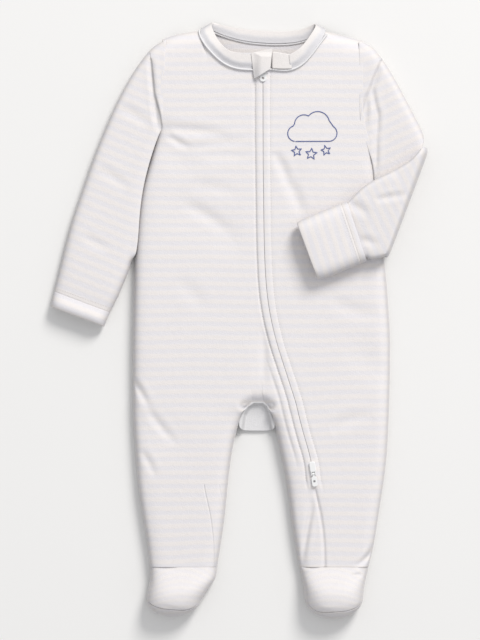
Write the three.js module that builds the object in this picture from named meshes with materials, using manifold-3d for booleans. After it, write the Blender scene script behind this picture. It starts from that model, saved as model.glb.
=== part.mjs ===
// A footed baby sleepsuit of brushed fleece, laid flat on its back with the bent sleeve over the chest.
// Millimetres, +Z up, the head end towards +Y. It lies on z = 0.
import * as THREE from "three";
import Module from "manifold-3d";
import { mergeVertices } from "three/addons/utils/BufferGeometryUtils.js";

const wasm = await Module();
wasm.setup();

// Sizes of the cloth
const wall = 1.6;
const hemWall = 2;
const bandWall = 2;
const seamGap = 0.35;
const armholeGap = 0.8;
const bodyLoft = 14.5;
const seamHeight = 5;
const topRoll = 11;
const shoulderRoll = 16;
const underRoll = 7;
const ankleY = -236;
const zipTopY = 256;
const coilEndY = -134;
const zipEndY = -160;
const archY = -76;

// Colours from the photographed cloth
const fleece = new THREE.MeshStandardMaterial({ color: 0xefecea, roughness: 0.95, metalness: 0 });
const trim = new THREE.MeshStandardMaterial({ color: 0xf1edeb, roughness: 0.95, metalness: 0 });
const tape = new THREE.MeshStandardMaterial({ color: 0xf0efee, roughness: 0.85, metalness: 0 });
const plastic = new THREE.MeshStandardMaterial({ color: 0xf5f5f4, roughness: 0.4, metalness: 0 });

const lerp = (a, b, t) => a + (b - a) * t;

// Rows of numbers under their column names
function table(names, rows) {
  const keys = names.split(" ");
  return rows.map((row) => Object.fromEntries(keys.map((key, i) => [key, row[i]])));
}

// A column read at any station, smooth between its rows, which run from high y to low y
function column(rows, name) {
  const slope = (i) => {
    const before = rows[Math.max(i - 1, 0)];
    const after = rows[Math.min(i + 1, rows.length - 1)];
    return (after[name] - before[name]) / (after.y - before.y);
  };
  return (y) => {
    let i = rows.findIndex((row) => row.y <= y);
    if (i === -1) i = rows.length - 1;
    i = Math.max(i, 1);
    const [a, b] = [rows[i - 1], rows[i]];
    const span = b.y - a.y;
    const t = Math.min(Math.max((y - a.y) / span, 0), 1);
    const [t2, t3] = [t * t, t * t * t];
    return (2 * t3 - 3 * t2 + 1) * a[name] + (t3 - 2 * t2 + t) * span * slope(i - 1)
      + (3 * t2 - 2 * t3) * b[name] + (t3 - t2) * span * slope(i);
  };
}

// The same, straight between rows that run from low x to high x
function straight(rows) {
  return (x) => {
    const i = Math.max(1, rows.findIndex((row) => row.x >= x));
    const [a, b] = x > rows[rows.length - 1].x ? rows.slice(-2) : [rows[i - 1], rows[i]];
    return lerp(a.y, b.y, Math.min(Math.max((x - a.x) / (b.x - a.x), 0), 1));
  };
}

// The cut of the suit at each station: side edges, inner edges of the legs, and the zip with its seam.
// Above the arch the inner columns only guide the cloth's rows.
const suit = table("y left shoulderLeft inLeft inRight zip shoulderRight right", [
  [281, -71.6, -34.8, -34.8, -24, 24.9, 84, 121.4],
  [250, -72.1, -34.8, -34, -23, 24.9, 84, 121.2],
  [205, -74.5, -34, -28, -13, 25, 82, 121],
  [186, -75, -33, -25, -8, 25, 82, 123.2],
  [170, -79.6, -32, -21, -5, 25.1, 84, 129],
  [154, -84.3, -30, -17, -2, 25.1, 86, 133.6],
  [123, -92.8, -28, -10, 3, 25.5, 90, 136.2],
  [84, -96.7, -26, -4, 8, 26, 94, 139.4],
  [60, -98.4, -25, 0, 10.5, 26.7, 96, 142.2],
  [36, -99.3, -24, 3.5, 13, 28, 98, 144.6],
  [12, -99.9, -23, 6, 16, 30.9, 101, 146.3],
  [-17, -100.5, -22, 10, 20, 37.3, 104, 147.8],
  [-46, -100.6, -21, 12.5, 23, 46.4, 106, 147.6],
  [-76, -100.5, -22, 15.5, 25.5, 56.1, 108, 147],
  [-80, -100.4, -25, 9, 30.6, 57.2, 108, 146.9],
  [-88, -100.2, -28, 3.9, 33.4, 59, 108, 146.6],
  [-99, -99.7, -32, 1.6, 36.6, 61.7, 109, 146.2],
  [-112, -99, -36, -2.4, 38.9, 65.3, 110, 145.6],
  [-134, -97.3, -42, -6.3, 43.6, 71.6, 111, 144.2],
  [-160, -95.2, -46, -9.2, 48.8, 75, 111, 140.8],
  [-188, -90.9, -48, -11.8, 52.2, 80.8, 110, 136.3],
  [-212, -86.8, -48, -15.3, 55.7, 83.6, 108, 132.8],
  [-236, -84, -48, -19, 60, 84.5, 106, 127.2],
]);
const at = Object.fromEntries(
  Object.keys(suit[0]).filter((name) => name !== "y").map((name) => [name, column(suit, name)]),
);

// Shoulder line and front neck seam, left and right of the zip, and the back neck seam
const frontTopLeft = straight(table("x y", [
  [-71.6, 272.8], [-60, 277.3], [-46, 280], [-34.8, 281], [-31, 267.5], [-27.6, 262.6],
  [-23.8, 259], [-15.8, 251.6], [-7.7, 246.8], [0, 244.4], [14.5, 243.2], [25, 243.2],
]));
const frontTopRight = straight(table("x y", [
  [25, 243.5], [33.8, 243.7], [44.5, 241.9], [53.2, 242.8], [60.9, 247.6], [68.7, 255.3],
  [76.4, 266.9], [81.5, 276], [84, 281.2], [96, 278], [109.3, 274.8], [121.4, 271.4],
]));
const backTop = straight(table("x y", [
  [-71.6, 272.8], [-46, 280], [-34.8, 281], [-21.3, 278.6], [0, 271.4], [20.3, 268.6],
  [44.5, 267.6], [65.3, 270.2], [76, 276], [84, 281.2], [96, 278], [121.4, 271.4],
]));
const armpitLeft = 186;
const armpitRight = 154;

// Lines where the flat suit turns from front to back
function edgeLine(name, from, to) {
  const steps = Math.ceil((from - to) / 2);
  return Array.from({ length: steps + 1 }, (_, i) => {
    const y = lerp(from, to, i / steps);
    return [at[name](y), y];
  });
}
function shoulderLine(top, from, to) {
  const steps = Math.ceil((to - from) / 2);
  return Array.from({ length: steps + 1 }, (_, i) => {
    const x = lerp(from, to, i / steps);
    return [x, top(x)];
  });
}
const turnedEdges = [
  edgeLine("left", armpitLeft, ankleY),
  edgeLine("right", armpitRight, ankleY),
  edgeLine("inLeft", archY, ankleY),
  edgeLine("inRight", archY, ankleY),
  [[at.inLeft(archY), archY], [at.inRight(archY), archY]],
  shoulderLine(frontTopLeft, -71.6, -34.8),
  shoulderLine(frontTopRight, 84, 121.4),
];

function distanceToLine(x, y, line) {
  let best = Infinity;
  for (let i = 1; i < line.length; i++) {
    const [ax, ay] = line[i - 1];
    const [bx, by] = line[i];
    const length2 = (bx - ax) ** 2 + (by - ay) ** 2;
    const t = Math.min(Math.max(((x - ax) * (bx - ax) + (y - ay) * (by - ay)) / length2, 0), 1);
    best = Math.min(best, Math.hypot(x - lerp(ax, bx, t), y - lerp(ay, by, t)));
  }
  return best;
}
const onEdge = 0.08;
function distanceToEdges(x, y, edges) {
  const d = Math.min(...edges.map((line) => distanceToLine(x, y, line)));
  return d < onEdge ? 0 : d;
}

// How far the cloth has risen, 0 to 1, at distance d from an edge that it rolls round within a reach
const rise = (d, reach) => Math.sqrt(1 - (1 - Math.min(d, reach) / reach) ** 2);

// Largest soft folds of the front: a line, its width and its depth, with a hollow as a negative depth
const folds = table("x1 y1 x2 y2 width depth", [
  [-72, 176, -50, 156, 13, -1.6],
  [-54, 114, -8, 84, 15, -1.3],
  [54, 142, 61, 101, 12, -1.1],
  [25, -14, 24, -74, 10, -1.2],
  [73, -177, 63, -236, 9, -1.6],
  [118, -30, 146, -52, 14, -1.2],
  [-84, -96, -58, -120, 14, -1.1],
]);
function foldHeight(x, y) {
  return folds.reduce((sum, fold) => {
    const d = distanceToLine(x, y, [[fold.x1, fold.y1], [fold.x2, fold.y2]]);
    return sum + fold.depth * Math.exp(-((d / fold.width) ** 2) * 2);
  }, 0);
}
const loftAt = (x, y) => bodyLoft + foldHeight(x, y);
function frontHeight(x, y) {
  const byShoulder = Math.min(Math.max((y - 200) / 40, 0), 1);
  const reach = lerp(topRoll, shoulderRoll, byShoulder);
  return lerp(seamHeight + seamGap / 2, loftAt(x, y), rise(distanceToEdges(x, y, turnedEdges), reach));
}

// The back rises to the seam at its edges, but lies flat at the crotch, where the gusset crosses it
const crotchFlat = [-100, -126];
function backSeam(x, y) {
  const byLeg = Math.min(Math.max((crotchFlat[0] - y) / (crotchFlat[0] - crotchFlat[1]), 0), 1);
  const nearCrotch = x > -25 && x < 56 && y < archY + 20;
  return (seamHeight - seamGap / 2) * (nearCrotch ? byLeg : 1);
}
function backHeight(x, y) {
  const d = distanceToEdges(x, y, turnedEdges);
  return backSeam(x, y) * (1 - rise(d, underRoll));
}

// A sheet of cloth: points, faces, and the points on an edge whose rim is level
class Sheet {
  points = [];
  faces = [];
  level = new Set();
  keys = new Map();

  point(x, y, z, isLevel = false) {
    const key = [x, y, z].map((v) => Math.round(v * 1e3)).join();
    if (!this.keys.has(key)) {
      this.keys.set(key, this.points.length);
      this.points.push(new THREE.Vector3(x, y, z));
    }
    const index = this.keys.get(key);
    if (isLevel) this.level.add(index);
    return index;
  }

  face(corners) {
    const own = corners.filter((c, i) => corners.indexOf(c) === i);
    if (own.length < 3) return;
    this.faces.push([own[0], own[1], own[2]]);
    if (own.length === 4) this.faces.push([own[0], own[2], own[3]]);
  }

  // Rows of point numbers, joined by faces; closed rows run round a tube, and keep drops the openings
  weave(rows, closed = false, keep = () => true) {
    for (let r = 1; r < rows.length; r++) {
      const count = rows[r].length;
      for (let c = closed ? 0 : 1; c < count; c++) {
        const before = (c + count - 1) % count;
        const [above, below] = [rows[r - 1], rows[r]];
        if (keep(r, c)) this.face([above[before], above[c], below[c], below[before]]);
      }
    }
    return this;
  }

  flip() {
    this.faces = this.faces.map(([a, b, c]) => [a, c, b]);
    return this;
  }

  // The sheet as a closed wall: its points are the outer side, and the inner side a wall's thickness in
  solid(thickness = wall) {
    const normals = this.points.map(() => new THREE.Vector3());
    for (const [a, b, c] of this.faces) {
      const [p, q, r] = [a, b, c].map((i) => this.points[i]);
      const area = q.clone().sub(p).cross(r.clone().sub(p));
      [a, b, c].forEach((i) => normals[i].add(area));
    }
    this.level.forEach((i) => normals[i].setZ(0));
    normals.forEach((normal) => normal.normalize());
    const inner = this.points.map((p, i) => p.clone().addScaledVector(normals[i], -thickness));
    const count = this.points.length;
    const index = [];
    const rims = new Map();
    for (const [a, b, c] of this.faces) {
      index.push(a, b, c, a + count, c + count, b + count);
      for (const [from, to] of [[a, b], [b, c], [c, a]]) {
        if (!rims.delete(to + "," + from)) rims.set(from + "," + to, [from, to]);
      }
    }
    for (const [from, to] of rims.values()) {
      index.push(to, from, from + count, to, from + count, to + count);
    }
    const flat = [...this.points, ...inner].flatMap((p) => [p.x, p.y, p.z]);
    const geometry = new THREE.BufferGeometry();
    geometry.setAttribute("position", new THREE.Float32BufferAttribute(flat, 3));
    geometry.setIndex(index);
    return geometry;
  }
}

// Columns between two guide lines, as shares of the way across
const rolledStart = [0, 0.014, 0.05, 0.12];
const rolledEnd = [0.88, 0.95, 0.986, 1];
function columnsBetween(guides, shares) {
  return shares.map((share) => (y) => lerp(guides[0](y), guides[1](y), share));
}

// Half the slot between the fronts: a little open along the zip, a seam's gap below it
const zipHalfSlot = 0.5;
function halfSlot(y) {
  const share = Math.min(Math.max((zipEndY + 4 - y) / 6, 0), 1);
  return lerp(zipHalfSlot, seamGap / 2, share);
}

// Stations down the body and the legs
const bodyStations = [170, 154, 140, 123, 104, 84, 66, 48, 30, 12, -4, -20, -36, -50, -64, archY];
const legStations = [-80, -88, -99, -112, -128, -145, -160, -178, -196, -213, -226, ankleY];
const yokeShares = [0, 0.012, 0.05, 0.13, 0.32, 0.44, 0.55, 0.66, 0.78, 0.9, 1];

// Points of a yoke row: each column starts on the shoulder or neck line
function yokeRow(columns, top, armpit, share, make) {
  return columns.map((across) => {
    let y = top(across(armpit));
    for (let i = 0; i < 30; i++) y = top(across(y));
    const down = lerp(y, armpit, share);
    const isTurned = distanceToEdges(across(down), down, turnedEdges) === 0;
    return make(across(down), down, isTurned);
  });
}

function makeFrontLeft() {
  const sheet = new Sheet();
  const zipEdge = (y) => at.zip(y) - halfSlot(y);
  const columns = [
    ...columnsBetween([at.left, at.shoulderLeft], [...rolledStart, 0.3, 0.55, 0.8]),
    ...columnsBetween([at.shoulderLeft, at.inLeft], [0, 0.5, 0.8, 0.95]),
    ...columnsBetween([at.inLeft, at.inRight], [0, 0.5]),
    ...columnsBetween([at.inRight, zipEdge], [0, 0.06, 0.2, 0.45, 0.72, 1]),
  ];
  const archFrom = 12;
  const archTo = 13;
  const put = (x, y, turned) => sheet.point(x, y, frontHeight(x, y), turned);
  const rows = yokeShares.map((share) => yokeRow(columns, frontTopLeft, armpitLeft, share, put));
  for (const y of [...bodyStations, ...legStations]) {
    rows.push(columns.map((across, c) => {
      const inner = y <= archY && c >= archFrom - 1 && c <= archTo;
      return put(across(y), y, c === 0 || inner);
    }));
  }
  const archRow = yokeShares.length + bodyStations.length - 1;
  const isCloth = (r, c) => !(r > archRow && (c === archFrom || c === archTo));
  return sheet.weave(rows, false, isCloth).flip().solid();
}

function makeFrontRight() {
  const sheet = new Sheet();
  const zipEdge = (y) => at.zip(y) + halfSlot(y);
  const columns = [
    ...columnsBetween([zipEdge, at.shoulderRight], [0, 0.16, 0.32, 0.48, 0.64, 0.78, 0.9]),
    ...columnsBetween([at.shoulderRight, at.right], [0, 0.3, 0.55, 0.75, 0.88, 0.96, 1]),
  ];
  const put = (x, y, turned) => sheet.point(x, y, frontHeight(x, y), turned);
  const rows = yokeShares.map((share) => yokeRow(columns, frontTopRight, armpitRight, share, put));
  for (const y of [...bodyStations.filter((s) => s < armpitRight), ...legStations]) {
    rows.push(columns.map((across, c) => put(across(y), y, c === columns.length - 1)));
  }
  return sheet.weave(rows).flip().solid();
}

function makeBack() {
  const sheet = new Sheet();
  const columns = [
    ...columnsBetween([at.left, at.inLeft], [0, 0.012, 0.04, 0.08, 0.45]),
    ...columnsBetween([at.left, at.inLeft], [0.92, 0.96, 0.988, 1]),
    ...columnsBetween([at.inRight, at.right], [0, 0.01, 0.03, 0.07]),
    ...columnsBetween([at.inRight, at.right], [0.55, 0.93, 0.965, 0.99, 1]),
  ];
  const gapColumn = 9;
  const put = (x, y, turned) => sheet.point(x, y, backHeight(x, y), turned);
  const rows = [0, 0.012, 0.035, 0.07, 0.5, 0.75, 0.88, 1].map((share) =>
    yokeRow(columns, backTop, armpitLeft, share, put));
  const stations = [...bodyStations.filter((_, i) => i % 2 === 1 || i === 0), ...legStations];
  for (const y of stations) {
    rows.push(columns.map((across, c) => {
      const side = (c === 0) || (c === columns.length - 1 && y <= armpitRight);
      const inner = y < crotchFlat[0] && (c === gapColumn - 1 || c === gapColumn);
      return put(across(y), y, side || inner);
    }));
  }
  const archRow = rows.length - legStations.length - 1;
  return sheet.weave(rows, false, (r, c) => !(r > archRow && c === gapColumn)).solid();
}

// The gusset lies on the back above the crotch, steps down past the back's edge and ends between the legs
function makeGusset() {
  const sheet = new Sheet();
  const rowsOf = table("y left right top", [
    [-66, 14.4, 24.2, 3.6],
    [-74, 15.6, 24.8, 3.6],
    [-78, 13.4, 27.6, 3.6],
    [-83, 7.6, 31.4, 3.4],
    [-89, 4.3, 32.9, 2.4],
    [-97, 2.6, 35.4, 1.9],
    [-103, 2.4, 36.6, 1.7],
    [-106.6, 5.4, 33.6, 1.6],
  ]);
  const rows = rowsOf.map((row) => [0, 0.2, 0.5, 0.8, 1].map((share) => {
    const sag = 2.2 * Math.sin(Math.PI * share) * (row.y < -96 ? 0.25 : 0);
    return sheet.point(lerp(row.left, row.right, share), row.y - sag, row.top);
  }));
  return sheet.weave(rows).flip().solid();
}

// A loop of flat cloth from edge point p to edge point q: out over its rolled side, back underneath
const overShares = [0, 0.015, 0.06, 0.15, 0.36, 0.56, 0.7, 0.78, 0.86, 0.94, 0.985, 1];
const underShares = [0.97, 0.91, 0.82, 0.74, 0.62, 0.4, 0.09, 0.03];
function flatLoop(p, q, under, over, overReach = 11, underReach = 6) {
  const width = Math.hypot(q[0] - p[0], q[1] - p[1]);
  const seam = lerp(under, over, 0.35);
  const spot = (share, level) => ({ x: lerp(p[0], q[0], share), y: lerp(p[1], q[1], share), z: level });
  const near = (share) => Math.min(share, 1 - share) * width;
  return [
    ...overShares.map((s) => spot(s, lerp(seam, over, rise(near(s), overReach)))),
    ...underShares.map((s) => spot(s, lerp(seam, under, rise(near(s), underReach)))),
  ];
}

// A tube through loops that run away from the viewer's left; on the left sleeve they run the other way
function tubeOf(loops, thickness = wall, runsLeft = false) {
  const sheet = new Sheet();
  sheet.weave(loops.map((loop) => loop.map((p) => sheet.point(p.x, p.y, p.z))), true);
  return (runsLeft ? sheet.flip() : sheet).solid(thickness);
}

// Straight sleeve: outer and inner edge of each section, from armhole to hem band
const straightSleeve = table("outerX outerY innerX innerY loft", [
  [-72.6, 272.4, -75.9, 185.6, 14.5],
  [-82.2, 266, -79.8, 177.5, 14.3],
  [-95, 250, -86.6, 157, 14],
  [-107.3, 230, -92.6, 135, 13.8],
  [-118.9, 207, -96.2, 112, 13.6],
  [-128.6, 184, -97.7, 92, 13.4],
  [-138.3, 160.5, -98.7, 74, 13.2],
  [-150.2, 125, -103, 50, 13],
  [-160.5, 96, -108.6, 38.5, 13],
  [-168, 65, -113.4, 26, 13],
  [-173.4, 43, -118.6, 16.5, 12.6],
  [-176.7, 30, -122, 9.6, 12],
]);
const cuffBand = table("outerX outerY innerX innerY loft", [
  [-176.95, 29.1, -122.3, 8.7, 12.4],
  [-178.4, 23, -124.8, 3.4, 12.6],
  [-179.9, 17, -127, -2.4, 12],
  [-180.2, 15.2, -127.6, -4.2, 10.8],
]);
const loopOfRow = (row) => flatLoop([row.outerX, row.outerY], [row.innerX, row.innerY], 0, row.loft);

// Bent sleeve: its upper arm to the fold, the turn round the fold, then the forearm lying back over it.
// under and over swap round the fold, because the cloth below comes out on top.
const upperArm = table("outerX outerY innerX innerY under over", [
  [121.8, 271.2, 134.4, 153.6, 0, 14.5],
  [130, 268.2, 136, 144, 0, 14.2],
  [147, 246, 137.6, 122, 0, 14],
  [164, 214, 140.4, 98, 0, 14],
  [177.4, 188.5, 141.9, 78, 0, 14],
  [182, 178, 142, 70, 0, 14],
]);
const foldAxis = {
  outer: [178.2, 169], inner: [142.1, 63], level: 14.8, outerReach: 8, innerReach: 4.2,
};
const forearm = table("outerX outerY innerX innerY under over", [
  [168.5, 157, 140.5, 61.6, 29.4, 15.7],
  [154, 148, 135.6, 60.6, 29.2, 15.7],
  [138, 140, 130, 59.8, 29, 15.8],
  [124, 133, 126.6, 60.4, 28.8, 17],
  [111.5, 121.6, 125.6, 61.6, 28.4, 17.7],
  [105.4, 112.6, 122.6, 61.8, 28.2, 17.9],
  [81.5, 102.4, 99.6, 53, 28.2, 17.9],
  [61.5, 92, 78.4, 46, 27.6, 18.2],
]);
function turnedLoops() {
  const flat = flatLoop(foldAxis.outer, foldAxis.inner, 0, 14);
  const dx = foldAxis.outer[0] - foldAxis.inner[0];
  const dy = foldAxis.outer[1] - foldAxis.inner[1];
  const length = Math.hypot(dx, dy);
  return [-90, -50, -15, 20, 55, 90].map((degrees) => {
    const angle = THREE.MathUtils.degToRad(degrees);
    return flat.map((p) => {
      const radius = foldAxis.level - p.z;
      const share = Math.hypot(p.x - foldAxis.outer[0], p.y - foldAxis.outer[1]) / length;
      const reach = lerp(foldAxis.outerReach, foldAxis.innerReach, share) / foldAxis.level;
      const out = radius * reach * Math.cos(angle);
      return {
        x: p.x + (out * dy) / length,
        y: p.y - (out * dx) / length,
        z: foldAxis.level + radius * Math.sin(angle),
      };
    });
  });
}
function makeBentSleeve() {
  const loopOf = (row) =>
    flatLoop([row.outerX, row.outerY], [row.innerX, row.innerY], row.under, row.over);
  const [first, ...others] = upperArm.map(loopOf);
  const armhole = first.map((p) => ({ ...p, x: at.right(p.y) + armholeGap }));
  return tubeOf([armhole, ...others, ...turnedLoops(), ...forearm.map(loopOf)]);
}

// Mitten cuff turned back over the forearm, from the hand end to its hem
const turnedCuff = table("outerX outerY innerX innerY under over", [
  [57.4, 95.6, 77.6, 41.2, 16.6, 30.2],
  [58.6, 97.6, 80.2, 39.8, 15.6, 31],
  [78, 105.8, 100.2, 47.8, 15.4, 31.4],
  [99.6, 114.4, 119.2, 55.8, 15.4, 31.4],
]);
const turnedHem = table("outerX outerY innerX innerY under over", [
  [100, 114.55, 119.6, 55.95, 15.4, 31.4],
  [102.6, 115.6, 122.2, 57, 15.3, 31.7],
  [105, 116.4, 124.4, 57.9, 15.6, 31.2],
]);
const loopOfCuff = (row) =>
  flatLoop([row.outerX, row.outerY], [row.innerX, row.innerY], row.under, row.over, 11, 8);

// Neckband: its seam edge and its free edge, from the left front end round behind the neck to the right
const band = table("seamX seamY seamZ freeX freeY freeZ", [
  [15.2, 243.2, 17.1, 13.6, 259, 17.2],
  [2, 243.8, 17.1, 3.2, 258.8, 17.3],
  [-7.5, 246.5, 17.1, -4.4, 259.6, 17.3],
  [-15.6, 251.4, 17.1, -9.8, 262, 17],
  [-23.5, 258.9, 17.1, -14.4, 266.6, 16],
  [-31, 267.4, 16.9, -18.6, 272, 14.4],
  [-35.4, 276.8, 14.2, -22.8, 280, 12],
  [-34.8, 283.4, 8.8, -25.4, 287.2, 8.6],
  [-30, 286, 3.4, -23.6, 289.6, 3.4],
  [-21, 279.8, 2.2, -14, 286.6, 1.6],
  [0, 272.4, 2.1, 2.9, 282.8, 0.9],
  [20.3, 269.6, 2.1, 20.4, 280.8, 0.9],
  [44.5, 268.6, 2.1, 40.6, 280, 0.9],
  [65, 271.2, 2.1, 60.6, 281, 0.9],
  [75.6, 277.4, 2.4, 70.4, 285.4, 1.8],
  [83, 284.6, 3.4, 75.6, 288.4, 3.8],
  [86, 282.8, 8.6, 76.6, 286.4, 9.4],
  [84.5, 276.8, 15, 73.6, 280.6, 12.8],
  [77.8, 266.2, 17.5, 68, 272.2, 15],
  [69.4, 254.6, 17.1, 62.6, 265.2, 16.6],
  [61, 246.8, 17.1, 57, 260.6, 17.3],
  [51.4, 242.4, 17.1, 50, 256.9, 17.3],
]);
function makeNeckband() {
  const sheet = new Sheet();
  const rows = band.map((row) => {
    const seam = new THREE.Vector3(row.seamX, row.seamY, row.seamZ);
    const free = new THREE.Vector3(row.freeX, row.freeY, row.freeZ);
    return [0, 0.33, 0.7, 1].map((share) => {
      const p = seam.clone().lerp(free, share);
      return sheet.point(p.x, p.y, p.z);
    });
  });
  return sheet.weave(rows).solid(bandWall);
}

// A flat patch of cloth between four corners, domed a little
function patch(corners, level, dome, thickness) {
  const sheet = new Sheet();
  const [a, b, c, d] = corners;
  const shares = [0, 0.25, 0.5, 0.75, 1];
  const rows = shares.map((down) => shares.map((across) => {
    const x = lerp(lerp(a[0], b[0], across), lerp(d[0], c[0], across), down);
    const y = lerp(lerp(a[1], b[1], across), lerp(d[1], c[1], across), down);
    return sheet.point(x, y, level + dome * Math.sin(Math.PI * across));
  }));
  return sheet.weave(rows).flip().solid(thickness);
}

// Zip: strips that follow the zip line under the fronts
const zipDrop = wall + 0.4;
const coilHalf = 1.7;
const coilWall = 1.8;
const tapeStart = 2;
const tapeReach = 9;
const tapeWall = 0.8;
function zipStrip(fromAcross, toAcross, drop, thickness, fromY, toY) {
  const sheet = new Sheet();
  const steps = Math.round((fromY - toY) / 14);
  const rows = Array.from({ length: steps + 1 }, (_, i) => {
    const y = lerp(fromY, toY, i / steps);
    return [fromAcross, toAcross].map((across) => {
      const x = at.zip(y) + across;
      return sheet.point(x, y, loftAt(x, y) - drop);
    });
  });
  return sheet.weave(rows).flip().solid(thickness);
}

// Feet: outline from one ankle corner round the toe to the other, in the order of the photo's outline.
// lip is how far the toe seam lies inside the outline.
const footSeam = 8;
const footRoll = 19;
const toeGap = 0.4;
const feet = {
  left: {
    sides: [
      [[-83.9, ankleY - 0.4], [-83.7, -249.5], [-86.2, -259], [-87.5, -267.5]],
      [[-19.1, ankleY - 0.4], [-20.4, -247], [-27.4, -257], [-34.6, -268.6]],
    ],
    toe: table("x y lip", [
      [-87.5, -267.5, 0], [-86.4, -275, 4.4], [-81, -280.6, 6.4], [-72.9, -284, 7.6], [-62, -284.8, 8],
      [-52.6, -283.6, 5.4], [-43.6, -281, 3.6], [-38, -275.6, 2.2], [-34.6, -268.6, 0],
    ]),
  },
  right: {
    sides: [
      [[60.1, ankleY - 0.4], [63, -249], [64.6, -258], [65.3, -267]],
      [[127, ankleY - 0.4], [124.2, -248], [122.5, -257], [121.4, -269]],
    ],
    toe: table("x y lip", [
      [65.3, -267, 0], [67.6, -276, 3.4], [72.4, -281, 3.6], [80.5, -285.6, 3.8], [92, -287.6, 8.6],
      [105, -285.9, 7.2], [113.6, -281.4, 4], [118.6, -276, 2.6], [121.4, -269, 0],
    ]),
  },
};
const curveOf = (points) => {
  const at3 = points.map(([x, y, lip = 0]) => new THREE.Vector3(x, y, lip));
  return new THREE.CatmullRomCurve3(at3, false, "centripetal");
};
const spread = [0, 0.03, 0.12, 0.28, 0.5, 0.72, 0.88, 0.97, 1];

// Points between four side curves
function coons(top, bottom, left, right, u, v) {
  const blend = (a, b, t) => a.clone().multiplyScalar(1 - t).addScaledVector(b, t);
  const ruledDown = blend(top.getPointAt(u), bottom.getPointAt(u), v);
  const ruledAcross = blend(left.getPointAt(v), right.getPointAt(v), u);
  const [topEnds, bottomEnds] = [top, bottom].map((curve) =>
    blend(curve.getPointAt(0), curve.getPointAt(1), u));
  const corners = blend(topEnds, bottomEnds, v);
  return ruledDown.add(ruledAcross).sub(corners);
}
function footCurves(foot) {
  const toe = foot.toe.map((p) => [p.x, p.y, p.lip]);
  const [left, right] = foot.sides.map(curveOf);
  const outline = [left, curveOf(toe), right].map((curve) =>
    curve.getSpacedPoints(90).map((p) => [p.x, p.y]));
  const ankle = curveOf([foot.sides[0][0], foot.sides[1][0]]);
  return { left, right, toe: curveOf(toe), outline, ankle };
}
function footHeight(x, y, d) {
  const share = Math.min(Math.max((ankleY - y) / 26, 0), 1);
  const loft = lerp(bodyLoft, 27, share * share * (3 - 2 * share));
  const reach = lerp(topRoll, footRoll, share);
  return lerp(lerp(seamHeight, footSeam, share) + seamGap / 2, loft, rise(d, reach));
}
function footUnder(y, d) {
  const share = Math.min(Math.max((ankleY - y) / 26, 0), 1);
  return (lerp(seamHeight, footSeam, share) - seamGap / 2) * (1 - rise(d, 9));
}
// The toe seam: the toe outline moved towards the ankle by its lip
function toeSeam(foot, shrink) {
  return curveOf(foot.toe.map((p, i) => {
    const middle = foot.toe.reduce((sum, q) => sum + q.x, 0) / foot.toe.length;
    const lip = Math.max(p.lip + (p.lip > 0 ? shrink : 0), 0);
    const lean = Math.sign(middle - p.x) * (i % (foot.toe.length - 1) === 0 ? 0 : 0.35);
    return [p.x + lean * lip * Math.min(Math.abs(middle - p.x) / 20, 1), p.y + lip];
  }));
}
// The vamp stops a little short of the toe corners, where the sole turns up
const shortened = (curve) => ({ getPointAt: (share) => curve.getPointAt(share * 0.982) });
function makeVamp(foot) {
  const sheet = new Sheet();
  const curves = footCurves(foot);
  const seam = toeSeam(foot, toeGap / 2);
  const rows = [0, 0.12, 0.3, 0.5, 0.7, 0.86, 0.95, 1].map((v) => spread.map((u) => {
    const p = coons(curves.ankle, seam, shortened(curves.left), shortened(curves.right), u, v);
    const isSide = u === 0 || u === 1;
    const d = isSide ? 0 : distanceToEdges(p.x, p.y, curves.outline);
    return sheet.point(p.x, p.y, footHeight(p.x, p.y, d), isSide);
  }));
  return sheet.weave(rows).flip().solid();
}
function makeSole(foot) {
  const sheet = new Sheet();
  const curves = footCurves(foot);
  const seam = toeSeam(foot, -toeGap / 2);
  const under = [0, 0.3, 0.62, 0.86, 0.96, 1].map((v) => spread.map((u) => {
    const p = coons(curves.ankle, curves.toe, curves.left, curves.right, u, v);
    const isOut = u === 0 || u === 1 || v === 1;
    const d = isOut ? 0 : distanceToEdges(p.x, p.y, curves.outline);
    const corner = v === 1 && (u === 0 || u === 1);
    return sheet.point(p.x, p.y, footUnder(p.y, d), (isOut && v < 1) || corner);
  }));
  const lip = [0.12, 0.4, 0.7, 1].map((share) => spread.map((u, c) => {
    if (u === 0 || u === 1) return under[under.length - 1][c];
    const out = curves.toe.getPointAt(u);
    const p = new THREE.Vector3(out.x, out.y, 0).lerp(seam.getPointAt(u).setZ(0), share);
    const d = distanceToEdges(p.x, p.y, curves.outline);
    return sheet.point(p.x, p.y, footHeight(p.x, p.y, Math.max(d, 0.05)));
  }));
  return sheet.weave([...under, ...lip]).solid();
}

// Zip hardware, made lying along the zip with its own y pointing up the zip
const sliderTurn = THREE.MathUtils.degToRad(7.5);
const sliderSpot = { x: 73.6, y: -146.3 };
const pinRadius = 0.6;
const pinHeight = 16.3;
const sliderBase = bodyLoft + seamGap;
const sliderThickness = 2.4;
const eyeRadius = 1.35;
const tabWidth = 5.2;
const sliderWidth = 5.8;
const sliderLength = 10.2;
const tabLength = 12.2;
const tabThickness = 1.3;

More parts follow.
